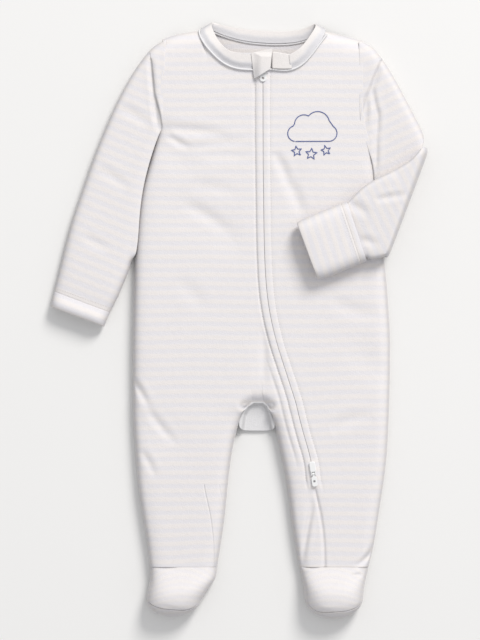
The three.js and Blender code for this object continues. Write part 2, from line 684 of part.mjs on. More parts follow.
function toSolid(geometry) {
  const plain = geometry.index ? geometry.toNonIndexed() : geometry;
  plain.deleteAttribute("normal");
  plain.deleteAttribute("uv");
  const merged = mergeVertices(plain, 1e-4);
  return new wasm.Manifold(new wasm.Mesh({
    numProp: 3,
    vertProperties: merged.attributes.position.array,
    triVerts: new Uint32Array(merged.index.array),
  }));
}
function toGeometry(solid) {
  const mesh = solid.getMesh();
  const geometry = new THREE.BufferGeometry();
  geometry.setAttribute("position", new THREE.BufferAttribute(new Float32Array(mesh.vertProperties), 3));
  geometry.setIndex(new THREE.BufferAttribute(mesh.triVerts, 1));
  return geometry;
}
function roundedPlate(width, length, corner, thickness, bevel) {
  const shape = new THREE.Shape();
  const [w, l] = [width / 2, length / 2];
  shape.moveTo(-w + corner, -l);
  shape.lineTo(w - corner, -l);
  shape.absarc(w - corner, -l + corner, corner, -Math.PI / 2, 0);
  shape.absarc(w - corner, l - corner, corner, 0, Math.PI / 2);
  shape.absarc(-w + corner, l - corner, corner, Math.PI / 2, Math.PI);
  shape.absarc(-w + corner, -l + corner, corner, Math.PI, Math.PI * 1.5);
  return new THREE.ExtrudeGeometry(shape, {
    depth: thickness - 2 * bevel, bevelThickness: bevel, bevelSize: bevel, bevelOffset: -bevel,
    bevelSegments: 1, curveSegments: 4,
  }).translate(0, 0, bevel - thickness / 2);
}
const rodAcross = (radius, length) =>
  new THREE.CylinderGeometry(radius, radius, length, 16).rotateZ(Math.PI / 2);

function makeSlider() {
  const body = toSolid(roundedPlate(sliderWidth, sliderLength, 2, sliderThickness, 0.5)
    .translate(0, 6.9, sliderBase + sliderThickness / 2));
  const ear = (side) =>
    toSolid(new THREE.BoxGeometry(0.7, 4, 2.4).translate(side * 1.85, 0.7, pinHeight - 0.1));
  const pin = toSolid(rodAcross(pinRadius, 4));
  return toGeometry(body.add(ear(-1)).add(ear(1)).add(pin.translate(0, 0, pinHeight)));
}
// The tab's own frame has its hinge line at the origin
function makeTab() {
  const blade = toSolid(roundedPlate(tabWidth, tabLength - 2.4, 2, tabThickness, 0.25)
    .translate(0, -2.4 - (tabLength - 2.4) / 2, 0));
  const neck = toSolid(new THREE.BoxGeometry(2.2, 3.2, tabThickness).translate(0, -1.7, 0));
  const barrel = toSolid(rodAcross(eyeRadius, 2.2));
  const eye = toSolid(rodAcross(pinRadius + 0.3, 6));
  const hole = toSolid(new THREE.CylinderGeometry(1.2, 1.2, 6, 20)
    .rotateX(Math.PI / 2).translate(0, -7, 0));
  return toGeometry(blade.add(neck).add(barrel).subtract(eye).subtract(hole));
}
function makeUpperSlider() {
  const body = toSolid(roundedPlate(sliderWidth, sliderLength, 2, sliderThickness, 0.5)
    .translate(0, 9.6, 0.55));
  const plate = toSolid(roundedPlate(6.6, 14, 3, tabThickness, 0.25));
  const hole = toSolid(new THREE.CylinderGeometry(1.3, 1.3, 6, 20)
    .rotateX(Math.PI / 2).translate(0, -3.6, 0));
  return toGeometry(plate.add(body).subtract(hole));
}

const sleepsuit = new THREE.Group();
function add(name, geometry, material, parent = sleepsuit) {
  const mesh = new THREE.Mesh(geometry, material);
  mesh.name = name;
  parent.add(mesh);
  return mesh;
}

add("back_panel", makeBack(), fleece);
add("front_left", makeFrontLeft(), fleece);
add("front_right", makeFrontRight(), fleece);
add("crotch_gusset", makeGusset(), trim);
add("sleeve_left", tubeOf(straightSleeve.map(loopOfRow), wall, true), fleece);
add("cuff_band_left", tubeOf(cuffBand.map(loopOfRow), hemWall, true), fleece);
add("sleeve_right", makeBentSleeve(), fleece);
add("cuff_turned_right", tubeOf(turnedCuff.map(loopOfCuff)), fleece);
add("cuff_hem_right", tubeOf(turnedHem.map(loopOfCuff)), fleece);
add("neckband", makeNeckband(), fleece);
const underlapCorners = [[34.4, 259.6], [49.6, 257.2], [50.9, 244.2], [34.4, 244.4]];
add("neck_underlap", patch(underlapCorners, 16.4, 0.3, wall), trim);
const guardCorners = [[13.8, 258.6], [33.6, 262.6], [31.8, 243.4], [16.8, 236]];
add("chin_guard", patch(guardCorners, 19.8, 0.5, bandWall), fleece);
add("zip_tape_left", zipStrip(-tapeReach, -tapeStart, zipDrop, tapeWall, zipTopY, zipEndY), tape);
add("zip_tape_right", zipStrip(tapeStart, tapeReach, zipDrop, tapeWall, zipTopY, zipEndY), tape);
add("zip_coil", zipStrip(-coilHalf, coilHalf, zipDrop, coilWall, zipTopY, coilEndY), tape);
for (const [side, foot] of Object.entries(feet)) {
  add("vamp_" + side, makeVamp(foot), fleece);
  add("sole_" + side, makeSole(foot), fleece);
}

const lowerZip = new THREE.Group();
lowerZip.position.set(sliderSpot.x, sliderSpot.y, 0);
lowerZip.rotation.z = sliderTurn;
sleepsuit.add(lowerZip);
add("lower_slider", makeSlider(), plastic, lowerZip);
add("pull_tab", makeTab(), plastic, lowerZip).position.z = pinHeight;

add("upper_slider", makeUpperSlider(), plastic).position.set(25.1, 238.4, 15.6);

export default sleepsuit;
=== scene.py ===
# %% [markdown]
# # A footed baby sleepsuit, laid flat
# The suit is brushed fleece with narrow knitted stripes, open at the neck and closed by a zip that runs down
# one leg. It lies on its back on a pale surface, seen from straight above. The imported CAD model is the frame:
# each sewn panel is a closed wall of cloth in the right place. This lesson turns those walls into soft cloth,
# then adds what a camera sees on it: creases, seams, stitches, zip teeth, embroidery and nap.

# %% Load the frame
import math
import bmesh
import bpy
import numpy as np
from mathutils import Matrix, Vector
from mathutils.bvhtree import BVHTree


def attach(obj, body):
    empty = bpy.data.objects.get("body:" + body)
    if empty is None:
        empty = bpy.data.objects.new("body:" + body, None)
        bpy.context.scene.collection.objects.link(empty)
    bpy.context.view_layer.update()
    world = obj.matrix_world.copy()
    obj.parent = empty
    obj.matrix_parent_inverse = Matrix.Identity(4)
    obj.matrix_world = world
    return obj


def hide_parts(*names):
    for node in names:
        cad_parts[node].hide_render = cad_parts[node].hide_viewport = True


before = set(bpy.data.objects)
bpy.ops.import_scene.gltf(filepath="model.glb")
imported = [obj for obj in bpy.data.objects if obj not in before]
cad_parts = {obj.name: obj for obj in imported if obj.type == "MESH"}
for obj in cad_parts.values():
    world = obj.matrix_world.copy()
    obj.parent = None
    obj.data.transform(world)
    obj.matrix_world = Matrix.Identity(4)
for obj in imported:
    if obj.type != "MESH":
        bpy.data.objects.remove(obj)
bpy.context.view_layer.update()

MM = 0.001
print("nodes in the frame:", len(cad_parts))

# %% [markdown]
# The colour management is set to Standard, so a pale cloth on a pale floor keeps the values it is given.
# The camera looks straight down through a long lens, because the picture shows no perspective: the sides of
# the suit are hardly seen. Its distance follows from the lens, so that 640 pixels span 619 mm of floor.

# %% Camera
bpy.context.scene.view_settings.view_transform = "Standard"
picture_height = 0.6189
lens, sensor = 200.0, 36.0
camera_data = bpy.data.cameras.new("camera")
camera_data.lens, camera_data.sensor_width = lens, sensor
camera_data.clip_start, camera_data.clip_end = 0.1, 20
camera = bpy.data.objects.new("camera", camera_data)
camera.location = (0.0029, 0.0019, picture_height * lens / sensor)
bpy.context.scene.collection.objects.link(camera)
bpy.context.scene.camera = camera
print("camera height", round(camera.location.z, 3))

# %% [markdown]
# The light is a studio's: one broad lamp high on the right, towards the head end, and a bright room that fills
# the shadows. The broad lamp gives the soft shadows that fall to the left and below. A small lamp would
# draw hard edges, and the room alone would give no direction at all.

# %% Light and floor
def lamp(name, place, size, power, colour):
    data = bpy.data.lights.new(name, "AREA")
    data.shape, data.size, data.energy, data.color = "DISK", size, power, colour
    made = bpy.data.objects.new(name, data)
    made.location = place
    made.rotation_euler = (Vector((0, 0, 0)) - Vector(place)).to_track_quat("-Z", "Y").to_euler()
    bpy.context.scene.collection.objects.link(made)
    return made


lamp("key_lamp", (2.6, 4.7, 3.6), 2.5, 330, (1.0, 0.985, 0.965))
room = bpy.data.worlds.new("room")
room.use_nodes = True
room.node_tree.nodes["Background"].inputs["Color"].default_value = (0.965, 0.975, 1.0, 1)
room.node_tree.nodes["Background"].inputs["Strength"].default_value = 0.62
bpy.context.scene.world = room


def put(tree, kind, inputs=None, **settings):
    """A node with its settings; each input is a value or the socket that feeds it."""
    made = tree.nodes.new(kind)
    for key, value in settings.items():
        setattr(made, key, value)
    for key, value in (inputs or {}).items():
        if isinstance(value, bpy.types.NodeSocket):
            tree.links.new(value, made.inputs[key])
        else:
            made.inputs[key].default_value = value
    return made


def new_material(name):
    material = bpy.data.materials.new(name)
    material.use_nodes = True
    return material, material.node_tree, material.node_tree.nodes["Principled BSDF"]


def feed(tree, shader, sockets):
    for key, socket in sockets.items():
        tree.links.new(socket, shader.inputs[key])


floor_material, tree, shader = new_material("pale_floor")
shader.inputs["Roughness"].default_value = 0.9
shader.inputs["Specular IOR Level"].default_value = 0.15
place = put(tree, "ShaderNodeTexCoord")
grain = put(tree, "ShaderNodeTexNoise", {"Vector": place.outputs["Object"], "Scale": 6.0, "Detail": 2.0})
floor_tint = put(tree, "ShaderNodeMix", {"Factor": grain.outputs["Fac"]}, data_type="RGBA")
floor_tint.inputs["A"].default_value = (0.865, 0.857, 0.842, 1)
floor_tint.inputs["B"].default_value = (0.875, 0.867, 0.852, 1)
feed(tree, shader, {"Base Color": floor_tint.outputs["Result"]})

floor_bm = bmesh.new()
bmesh.ops.create_grid(floor_bm, x_segments=2, y_segments=2, size=4.0)
bmesh.ops.translate(floor_bm, verts=floor_bm.verts, vec=(0, 0, -0.0002))
floor_mesh = bpy.data.meshes.new("floor")
floor_bm.to_mesh(floor_mesh)
floor_bm.free()
floor_mesh.materials.append(floor_material)
floor = bpy.data.objects.new("floor", floor_mesh)
bpy.context.scene.collection.objects.link(floor)
print("lamps and floor are in place")

# %% [markdown]
# ## The fleece
# Up close, brushed fleece is a pebbled nap: tiny soft tufts, some pressed together into larger ones. One
# shader group makes that nap from two noises, and every cloth on the suit uses it with its own strength.
# A picture of fleece would blur when a reader zooms in, and a flat colour has no depth, so noise is right.

# %% Nap group
def new_group(name, inputs, outputs):
    group = bpy.data.node_groups.new(name, "ShaderNodeTree")
    for label, kind, value in inputs:
        socket = group.interface.new_socket(name=label, in_out="INPUT", socket_type=kind)
        if value is not None:
            socket.default_value = value
    for label, kind in outputs:
        group.interface.new_socket(name=label, in_out="OUTPUT", socket_type=kind)
    return group, group.nodes.new("NodeGroupInput"), group.nodes.new("NodeGroupOutput")


nap_group, given, result = new_group(
    "brushed_nap",
    [("Vector", "NodeSocketVector", None), ("Tufts", "NodeSocketFloat", 900.0)],
    [("Height", "NodeSocketFloat"), ("Shade", "NodeSocketFloat")],
)
coarse_scale = put(nap_group, "ShaderNodeMath", {0: given.outputs["Tufts"], 1: 0.27}, operation="MULTIPLY")
tufts = put(nap_group, "ShaderNodeTexNoise",
            {"Vector": given.outputs["Vector"], "Scale": given.outputs["Tufts"], "Detail": 3.0,
             "Roughness": 0.6})
clumps = put(nap_group, "ShaderNodeTexNoise",
             {"Vector": given.outputs["Vector"], "Scale": coarse_scale.outputs[0], "Detail": 2.0,
              "Distortion": 0.4})
nap_height = put(nap_group, "ShaderNodeMix",
                 {"Factor": 0.35, 2: tufts.outputs["Fac"], 3: clumps.outputs["Fac"]}, data_type="FLOAT")
nap_group.links.new(nap_height.outputs[0], result.inputs["Height"])
nap_shade = put(nap_group, "ShaderNodeMapRange",
                {"Value": nap_height.outputs[0], "From Min": 0.35, "From Max": 0.65, "To Min": 0.955,
                 "To Max": 1.0})
nap_group.links.new(nap_shade.outputs[0], result.inputs["Shade"])
print("nap group has", len(nap_group.nodes), "nodes")

# %% [markdown]
# The stripes are knitted in: each is about 4 mm of cream, then 4 mm of pale lavender grey, and their edges
# are fuzzy because the nap crosses them. They follow the cloth, so the pattern reads a UV map that holds
# real lengths along each panel. A sine of that length is soft at its edges, and a noise makes them waver.

# %% Stripe group
stripe_group, given, result = new_group(
    "knitted_stripes",
    [("Along", "NodeSocketFloat", 0.0), ("Vector", "NodeSocketVector", None),
     ("Pitch", "NodeSocketFloat", 0.00865)],
    [("Band", "NodeSocketFloat")],
)
waver = put(stripe_group, "ShaderNodeTexNoise",
            {"Vector": given.outputs["Vector"], "Scale": 260.0, "Detail": 3.0})
waver_mm = put(stripe_group, "ShaderNodeMapRange",
               {"Value": waver.outputs["Fac"], "To Min": -0.0011, "To Max": 0.0011})
wavered = put(stripe_group, "ShaderNodeMath", {0: given.outputs["Along"], 1: waver_mm.outputs[0]})
turns = put(stripe_group, "ShaderNodeMath", {0: wavered.outputs[0], 1: given.outputs["Pitch"]},
            operation="DIVIDE")
angle = put(stripe_group, "ShaderNodeMath", {0: turns.outputs[0], 1: 2 * math.pi}, operation="MULTIPLY")
wave = put(stripe_group, "ShaderNodeMath", {0: angle.outputs[0]}, operation="COSINE")
band = put(stripe_group, "ShaderNodeMapRange",
           {"Value": wave.outputs[0], "From Min": -0.75, "From Max": 0.75}, interpolation_type="SMOOTHSTEP")
stripe_group.links.new(band.outputs[0], result.inputs["Band"])
print("stripe group has", len(stripe_group.nodes), "nodes")

# %% [markdown]
# Each fleece is one material made of the two groups. Its sheen is the light that the raised fibres catch at
# grazing angles, so it is set on the shader. The stripes' own height is tiny: the lavender rows sit a little
# lower. Along the zip a placket of two layers is stitched down, which draws a fine groove on each side of
# it. The panels store their distance from the zip, and the groove is a bump read from it.

# %% Fleece materials
cream = (0.855, 0.812, 0.790, 1)
lavender = (0.807, 0.785, 0.804, 1)
plain_white = (0.850, 0.838, 0.846, 1)


def shaded(tree, colour, shade):
    darker = put(tree, "ShaderNodeMix", {"Factor": 1.0, "A": colour, "B": shade}, data_type="RGBA",
                 blend_type="MULTIPLY")
    return darker.outputs["Result"]


def groove(tree, across, centre, width):
    """A valley in a bump height, at a distance from the zip and about a width wide, in mm."""
    off = put(tree, "ShaderNodeMath", {0: across, 1: centre}, operation="SUBTRACT")
    share = put(tree, "ShaderNodeMath", {0: off.outputs[0], 1: width}, operation="DIVIDE")
    square = put(tree, "ShaderNodeMath", {0: share.outputs[0], 1: share.outputs[0]}, operation="MULTIPLY")
    minus = put(tree, "ShaderNodeMath", {0: square.outputs[0], 1: -1.0}, operation="MULTIPLY")
    return put(tree, "ShaderNodeMath", {0: minus.outputs[0]}, operation="EXPONENT").outputs[0]


def fleece(name, pitch=0.00865, pale=cream, tinted=lavender, tufts=900.0, grooves=(), tuck=0.0):
    material, tree, shader = new_material(name)
    place = put(tree, "ShaderNodeTexCoord")
    nap = put(tree, "ShaderNodeGroup", node_tree=nap_group)
    nap.inputs["Tufts"].default_value = tufts
    tree.links.new(place.outputs["Object"], nap.inputs["Vector"])
    cloth_map = put(tree, "ShaderNodeUVMap", uv_map="cloth")
    apart = put(tree, "ShaderNodeSeparateXYZ", {0: cloth_map.outputs["UV"]})
    stripes = put(tree, "ShaderNodeGroup", node_tree=stripe_group)
    stripes.inputs["Pitch"].default_value = pitch
    tree.links.new(apart.outputs["Y"], stripes.inputs["Along"])
    tree.links.new(place.outputs["Object"], stripes.inputs["Vector"])
    colour = put(tree, "ShaderNodeMix", {"Factor": stripes.outputs["Band"], "A": pale, "B": tinted},
                 data_type="RGBA")
    rows = put(tree, "ShaderNodeMath", {0: stripes.outputs["Band"], 1: -0.12}, operation="MULTIPLY")
    height = put(tree, "ShaderNodeMath", {0: rows.outputs[0], 1: nap.outputs["Height"]}).outputs[0]
    if grooves:
        zip_map = put(tree, "ShaderNodeAttribute", attribute_name="across_zip")
        for centre, width, depth in grooves:
            valley = groove(tree, zip_map.outputs["Fac"], centre, width)
            height = put(tree, "ShaderNodeMath", {0: valley, 1: -depth, 2: height},
                         operation="MULTIPLY_ADD").outputs[0]
    shade = nap.outputs["Shade"]
    # Along a sleeve's tucked fold the colour is darkened by the tuck amount: painted shade in the fold, beside its
    # bump groove.
    if tuck:
        tuck_map = put(tree, "ShaderNodeAttribute", attribute_name="from_tuck")
        valley = groove(tree, tuck_map.outputs["Fac"], 0.0, 0.85)
        height = put(tree, "ShaderNodeMath", {0: valley, 1: -2.0, 2: height},
                     operation="MULTIPLY_ADD").outputs[0]
        shade = put(tree, "ShaderNodeMath", {0: valley, 1: -tuck, 2: shade},
                    operation="MULTIPLY_ADD").outputs[0]
    bump = put(tree, "ShaderNodeBump", {"Height": height, "Strength": 0.55, "Distance": 0.0006})
    # Slopes turning away from straight up are darkened, to about three quarters at steep sides: painted shade.
    facing = put(tree, "ShaderNodeSeparateXYZ", {0: put(tree, "ShaderNodeNewGeometry").outputs["Normal"]})
    slope = put(tree, "ShaderNodeMapRange", {"Value": facing.outputs["Z"], "From Min": 0.5,
                                             "From Max": 0.975, "To Min": 0.74, "To Max": 1.0})
    shade = put(tree, "ShaderNodeMath", {0: shade, 1: slope.outputs[0]}, operation="MULTIPLY").outputs[0]
    feed(tree, shader, {"Base Color": shaded(tree, colour.outputs["Result"], shade),
                        "Normal": bump.outputs["Normal"]})
    shader.inputs["Roughness"].default_value = 0.92
    shader.inputs["Specular IOR Level"].default_value = 0.2
    shader.inputs["Sheen Weight"].default_value = 0.22
    shader.inputs["Sheen Roughness"].default_value = 0.5
    return material


placket_grooves = [(-7.4, 0.7, 1.5), (7.2, 0.6, 0.5)]
body_fleece = fleece("striped_fleece_body", grooves=placket_grooves)
# Each tuck amount sets how dark the painted shade along that sleeve's fold line is.
left_arm_fleece = fleece("striped_fleece_left_arm", pitch=0.00885, tuck=0.40)
# The right sleeve's colours are a 3% darker copy of the stripes: painted shade on the folded sleeve.
shaded_cream = (0.97 * cream[0], 0.97 * cream[1], 0.97 * cream[2], 1)
shaded_lavender = (0.97 * lavender[0], 0.97 * lavender[1], 0.97 * lavender[2], 1)
right_arm_fleece = fleece("striped_fleece_right_arm", pitch=0.00885, tuck=0.11, pale=shaded_cream,
                          tinted=shaded_lavender)
cuff_fleece = fleece("striped_fleece_cuff", pitch=0.00885)
# The band's colours are darker than the body's: painted shade, shared by the neckband, chin guard and underlap.
shaded_band_fleece = fleece("striped_fleece_band_shaded", pitch=0.0165, pale=(0.835, 0.797, 0.775, 1),
                     tinted=(0.735, 0.724, 0.742, 1))
foot_fleece = fleece("striped_fleece_foot", pitch=0.0060, pale=(0.835, 0.798, 0.780, 1),
                     tinted=(0.812, 0.784, 0.794, 1))
plain_fleece = fleece("plain_fleece", pale=plain_white, tinted=plain_white)
# The inside is much brighter than the plain fleece outside: painted light that lifts the shade inside the neck and
# the other openings.
lit_inner_white = (0.970, 0.955, 0.965, 1)
lit_inner_fleece = fleece("plain_fleece_inside_lit", pale=lit_inner_white, tinted=lit_inner_white)
# The gusset's grey, darker than the plain fleece, is painted shade of its low place under the arch.
shaded_gusset_grey = (0.790, 0.780, 0.785, 1)
shaded_gusset_fleece = fleece("plain_fleece_gusset_shaded", pale=shaded_gusset_grey, tinted=shaded_gusset_grey)
print("nine fleeces share two groups")

# %% [markdown]
# ## From CAD wall to cloth
# A CAD panel is a closed wall, 1.6 mm thick, made of loose triangles. A copy of it is merged, its triangles
# are joined into quads, and the edges of its rim get a part crease. Then a subdivision surface rounds the
# wall, so its rim turns like a folded edge and not like cut card. Cloth simulation would
# also move the panels off their seams, so the folds are laid in one by one instead.

# %% Cloth helpers
def smooth_step(x, low, high):
    t = np.clip((x - low) / (high - low), 0, 1)
    return t * t * (3 - 2 * t)


def split_sides(bm, rim_angle):
    """Marks the faces of the wall's inner side: regions between rim edges, the second largest of them."""
    rims = {edge for edge in bm.edges if edge.calc_face_angle(0) > rim_angle}
    regions, seen = [], set()
    for start in bm.faces:
        if start in seen:
            continue
        seen.add(start)
        region, open_faces = [], [start]
        while open_faces:
            face = open_faces.pop()
            region.append(face)
            for edge in face.edges:
                if edge in rims:
                    continue
                for other in edge.link_faces:
                    if other not in seen:
                        seen.add(other)
                        open_faces.append(other)
        regions.append(region)
    regions.sort(key=lambda faces: -sum(face.calc_area() for face in faces))
    for face in regions[1] if len(regions) > 1 else []:
        face.material_index = 1
    return rims, [face for region in regions[2:] for face in region]


def close_seams(rim_faces, reach):
    """Moves the rim outwards by half the seam's gap, so neighbouring pieces meet."""
    pushes = {}
    for face in rim_faces:
        for vertex in face.verts:
            pushes[vertex] = pushes.get(vertex, Vector()) + face.normal
    for vertex, push in pushes.items():
        vertex.co += push.normalized() * reach * MM


def soft_copy(node, levels, softness=0.75, rim_angle=58, reach=0.38):
    """A merged, creased and subdivided copy of a CAD node's wall, as a mesh."""
    bm = bmesh.new()
    bm.from_mesh(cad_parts[node].data)
    bmesh.ops.remove_doubles(bm, verts=bm.verts, dist=0.00002)
    bmesh.ops.join_triangles(bm, faces=bm.faces, angle_face_threshold=math.radians(50),
                             angle_shape_threshold=math.radians(80))
    for face in bm.faces:
        face.material_index = 0
        face.smooth = True
    crease = bm.edges.layers.float.new("crease_edge")
    rims, rim_faces = split_sides(bm, math.radians(rim_angle))
    for edge in rims:
        edge[crease] = softness
    close_seams(rim_faces, reach)
    rough = bpy.data.meshes.new(node + "_rough")
    bm.to_mesh(rough)
    bm.free()
    holder = bpy.data.objects.new(node + "_rough", rough)
    bpy.context.scene.collection.objects.link(holder)
    rounding = holder.modifiers.new("rounding", "SUBSURF")
    rounding.levels = rounding.render_levels = levels
    view = bpy.context.evaluated_depsgraph_get()
    mesh = bpy.data.meshes.new_from_object(holder.evaluated_get(view))
    bpy.data.objects.remove(holder)
    mesh.name = node
    return mesh


def points_of(mesh):
    flat = np.empty(len(mesh.vertices) * 3)
    mesh.vertices.foreach_get("co", flat)
    return flat.reshape(-1, 3) / MM


def move_points(mesh, points):
    mesh.vertices.foreach_set("co", (points * MM).ravel())
    mesh.update()


def map_cloth(mesh, across, along):
    """The UV map "cloth": real lengths in metres across and along the panel, given in mm at each point."""
    corners = np.empty(len(mesh.loops), dtype=np.int32)
    mesh.loops.foreach_get("vertex_index", corners)
    layer = mesh.uv_layers.new(name="cloth")
    layer.data.foreach_set("uv", (np.column_stack([across, along])[corners] * MM).ravel())


def add_piece(name, mesh, materials, replaced=(), body="garment"):
    mesh.materials.clear()
    for material in materials:
        mesh.materials.append(material)
    piece = bpy.data.objects.new(name, mesh)
    bpy.context.scene.collection.objects.link(piece)
    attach(piece, body)
    if replaced:
        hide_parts(*replaced)
    print(name, len(mesh.polygons), "faces")
    return piece


# %% [markdown]
# A crease in laid-out fleece is a soft hollow with a low ridge beside it. Each is a row of a table: where it
# starts and ends in the picture's pixels, how far it bows, how wide it is and how deep, in mm. Its depth
# fades towards both ends, sooner at one than the other, so that no two look alike. The same table
# could drive a sculpt brush, but numbers can be read and corrected.

# %% Creases
PIXEL = 0.967
picture_origin = (237, 322)


def from_picture(x, y):
    return (x - picture_origin[0]) * PIXEL, (picture_origin[1] - y) * PIXEL


def crease_height(points, rows):
    """Height in mm that the creases add at each point. Columns: x1 y1 x2 y2 bow width depth."""
    total = np.zeros(len(points))
    for x1, y1, x2, y2, bow, width, depth in rows:
        start, end = np.array(from_picture(x1, y1)), np.array(from_picture(x2, y2))
        run = end - start
        length = np.hypot(*run)
        away = points[:, :2] - start
        share = away @ run / length**2
        side = (away @ np.array([-run[1], run[0]])) / length - bow * 4 * share * (1 - share)
        t = np.clip(share, 0, 1)
        fade = np.sin(np.pi * t**0.8) ** 0.9
        beyond = np.maximum(np.abs(share - 0.5) - 0.5, 0) * length / width
        q = side / width
        shape = -np.exp(-q * q) + 0.24 * np.exp(-((q - 1.8) ** 2)) + 0.14 * np.exp(-((q + 1.9) ** 2))
        total += depth * shape * fade * np.exp(-(beyond**2))
    return total


body_creases = [
    (163, 129, 232, 137, 1.5, 5.0, 1.1),
    (167, 136, 193, 149, -1.0, 3.2, 1.2),
    (190, 149, 250, 143, 2.0, 5.0, 0.8),
    (196, 157, 256, 158, 2.0, 5.5, 0.6),
    (274, 152, 291, 196, 2.0, 4.5, 1.2),
    (183, 204, 232, 236, 3.0, 5.5, 0.9),
    (190, 186, 240, 194, 2.0, 6.0, 0.6),
    (292, 182, 304, 216, -1.5, 5.0, 1.0),
    (263, 326, 264, 384, 0.8, 3.4, 0.8),
    (357, 196, 358, 220, 1.0, 4.5, 1.2),
    (363, 232, 364, 256, 1.0, 4.5, 1.0),
    (313, 500, 302, 566, -1.0, 2.6, 1.8),
    (374, 546, 354, 566, 2.0, 2.6, 1.9),
    (178, 280, 206, 312, 2.0, 7.0, 0.6),
    (330, 300, 382, 316, -3.0, 7.0, 0.7),
    (133, 379, 150, 410, 1.0, 3.4, 1.4),
    (148, 408, 177, 444, -1.2, 3.8, 1.1),
    (142, 450, 156, 478, 1.0, 3.4, 1.1),
    (330, 430, 372, 414, 3.0, 6.0, 0.8),
]
left_sleeve_creases = [
    (151, 58, 155, 104, -0.6, 2.4, 1.6),
    (154, 96, 160, 134, -0.8, 2.4, 2.0),
    (120, 108, 150, 126, 1.5, 4.5, 0.8),
    (98, 168, 130, 190, 1.0, 4.5, 0.7),
    (84, 236, 112, 250, -1.0, 4.0, 0.7),
]
upper_arm_creases = [
    (380, 60, 367, 98, 1.4, 2.6, 1.6),
    (367, 92, 362.5, 134, 0.6, 2.6, 1.6),
    (372, 88, 377.4, 118, -0.8, 2.6, 1.5),
    (377.2, 108, 375.5, 144, 0.4, 2.6, 1.5),
    (376, 136, 374, 180, 0.6, 2.6, 1.3),
]
forearm_creases = [
    (404, 141, 421, 133.5, 0.5, 2.2, 1.9),
    (409, 156, 420, 150, -0.6, 2.4, 1.3),
    (374, 201.5, 407, 195.5, 0.8, 2.6, 1.6),
    (348, 204, 368, 217, 1.0, 4.5, 1.2),
    (357, 240, 378, 246, 1.0, 4.0, 1.0),
    (380, 168, 402, 178, 1.2, 5.0, 0.7),
]
foot_creases = [
    (150, 564, 179, 568, 0.6, 2.6, 1.3),
    (299, 565.5, 320, 566.5, 0.5, 2.2, 1.7),
    (350, 575, 363, 574, 0.3, 2.0, 1.3),
]
print(len(body_creases), "creases on the body")

# %% [markdown]
# ## The body panels
# The two fronts and the back are the large panels. The zip leaves the neck near the middle and swings down to
# the right ankle, so its line is kept as a short table and read smoothly at any height. Stripes run
# straight across the body and wave by a millimetre or two where the cloth was smoothed down by hand.

# %% The zip's line
zip_y = np.array([281, 154, 123, 84, 60, 36, 12, -17, -46, -76, -88, -99, -112, -134, -160, -188, -212, -236.0])
zip_x = np.array([24.9, 25.1, 25.5, 26, 26.7, 28, 30.9, 37.3, 46.4, 56.1, 59, 61.7, 65.3, 71.6, 75, 80.8,
                  83.6, 84.5])


def zip_at(y):
    """The zip's x at height y, smooth between the rows of its table, in mm."""
    y = np.asarray(y, dtype=float)
    slope = np.gradient(zip_x, zip_y)
    i = np.clip(np.searchsorted(-zip_y, -y), 1, len(zip_y) - 1)
    a, b = i - 1, i
    span = zip_y[b] - zip_y[a]
    t = np.clip((y - zip_y[a]) / span, 0, 1)
    return ((2 * t**3 - 3 * t**2 + 1) * zip_x[a] + (t**3 - 2 * t**2 + t) * span * slope[a]
            + (3 * t**2 - 2 * t**3) * zip_x[b] + (t**3 - t**2) * span * slope[b])


def body_along(points):
    """Straight across; right of the zip the stripes sag on the way down, and each leg bends them a little."""
    x, y = points[:, 0], points[:, 1]
    sway = 0.35 * np.sin(x / 27 + y / 61) + 0.25 * np.sin(x / 13 - y / 83 + 1.3)
    right = x > zip_at(y)
    sag = 4.9 * smooth_step(-y, -40, 80)
    beside_zip = np.exp(-(((x - zip_at(y)) / 26) ** 2))
    near_zip = 1.8 * smooth_step(-y, 20, 86) * (1 - smooth_step(-y, 95, 130)) * beside_zip
    left_leg = -2.9 * smooth_step(x, -72, -33) * smooth_step(-y, 150, 232)
    return y + 2.35 + sway + np.where(right | ((x > 25) & (y < -76)), sag + near_zip, left_leg)


def swell(across, start, end, height):
    """A low bulge of cloth between two lines of stitching."""
    share = np.clip((across - start) / (end - start), 0, 1)
    return height * np.sin(np.pi * share) ** 0.8


placket_end = -155


def placket_ridge(points):
    """The cloth swells between the stitched lines beside the zip; low down a second fold runs beside them."""
    across = points[:, 0] - zip_at(points[:, 1])
    low = smooth_step(-points[:, 1], 30, 62) * (1 - smooth_step(-points[:, 1], 118, 148))
    closed = smooth_step(-points[:, 1], 156, 166)
    near = (1 - closed) * (swell(across, -7.4, 0.5, 0.5) + swell(across, -0.5, 7.2, 0.45))
    valley = -0.5 * np.exp(-(((across + 7.4) / 1.3) ** 2)) - 0.3 * np.exp(-(((across - 7.2) / 1.3) ** 2))
    second = low * (swell(across, -14.6, -7.4, 0.55) - 0.5 * np.exp(-(((across + 15.0) / 1.5) ** 2)))
    seam = -1.2 * closed * np.exp(-((across / 1.6) ** 2))
    return near + (1 - closed) * valley + second + seam


fork_edge = np.array([(1.2, -106.0), (3.9, -88), (8.6, -80), (15.5, -76), (25.5, -76), (31.0, -80), (33.6, -88),
                      (37.6, -106.0)])


def distance_to(points, line):
    best = np.full(len(points), 1e9)
    for a, b in zip(line[:-1], line[1:]):
        run = b - a
        t = np.clip((points - a) @ run / (run @ run), 0, 1)
        best = np.minimum(best, np.linalg.norm(points - (a + t[:, None] * run), axis=1))
    return best


def soften_arch(points):
    """The fronts' edge over the fork stays high and soft, and comes down a little lower than it was cut."""
    away = distance_to(points[:, :2], fork_edge[2:6])
    arch = np.exp(-((away / 14) ** 2)) * (points[:, 2] > 3)
    level = 9 + 6.5 * (1 - np.exp(-((away / 5) ** 2)))
    points[:, 1] -= 2.7 * np.exp(-((away / 6) ** 2)) * (points[:, 2] > 1.5)
    points[:, 2] += 0.9 * arch * np.maximum(level - points[:, 2], 0)


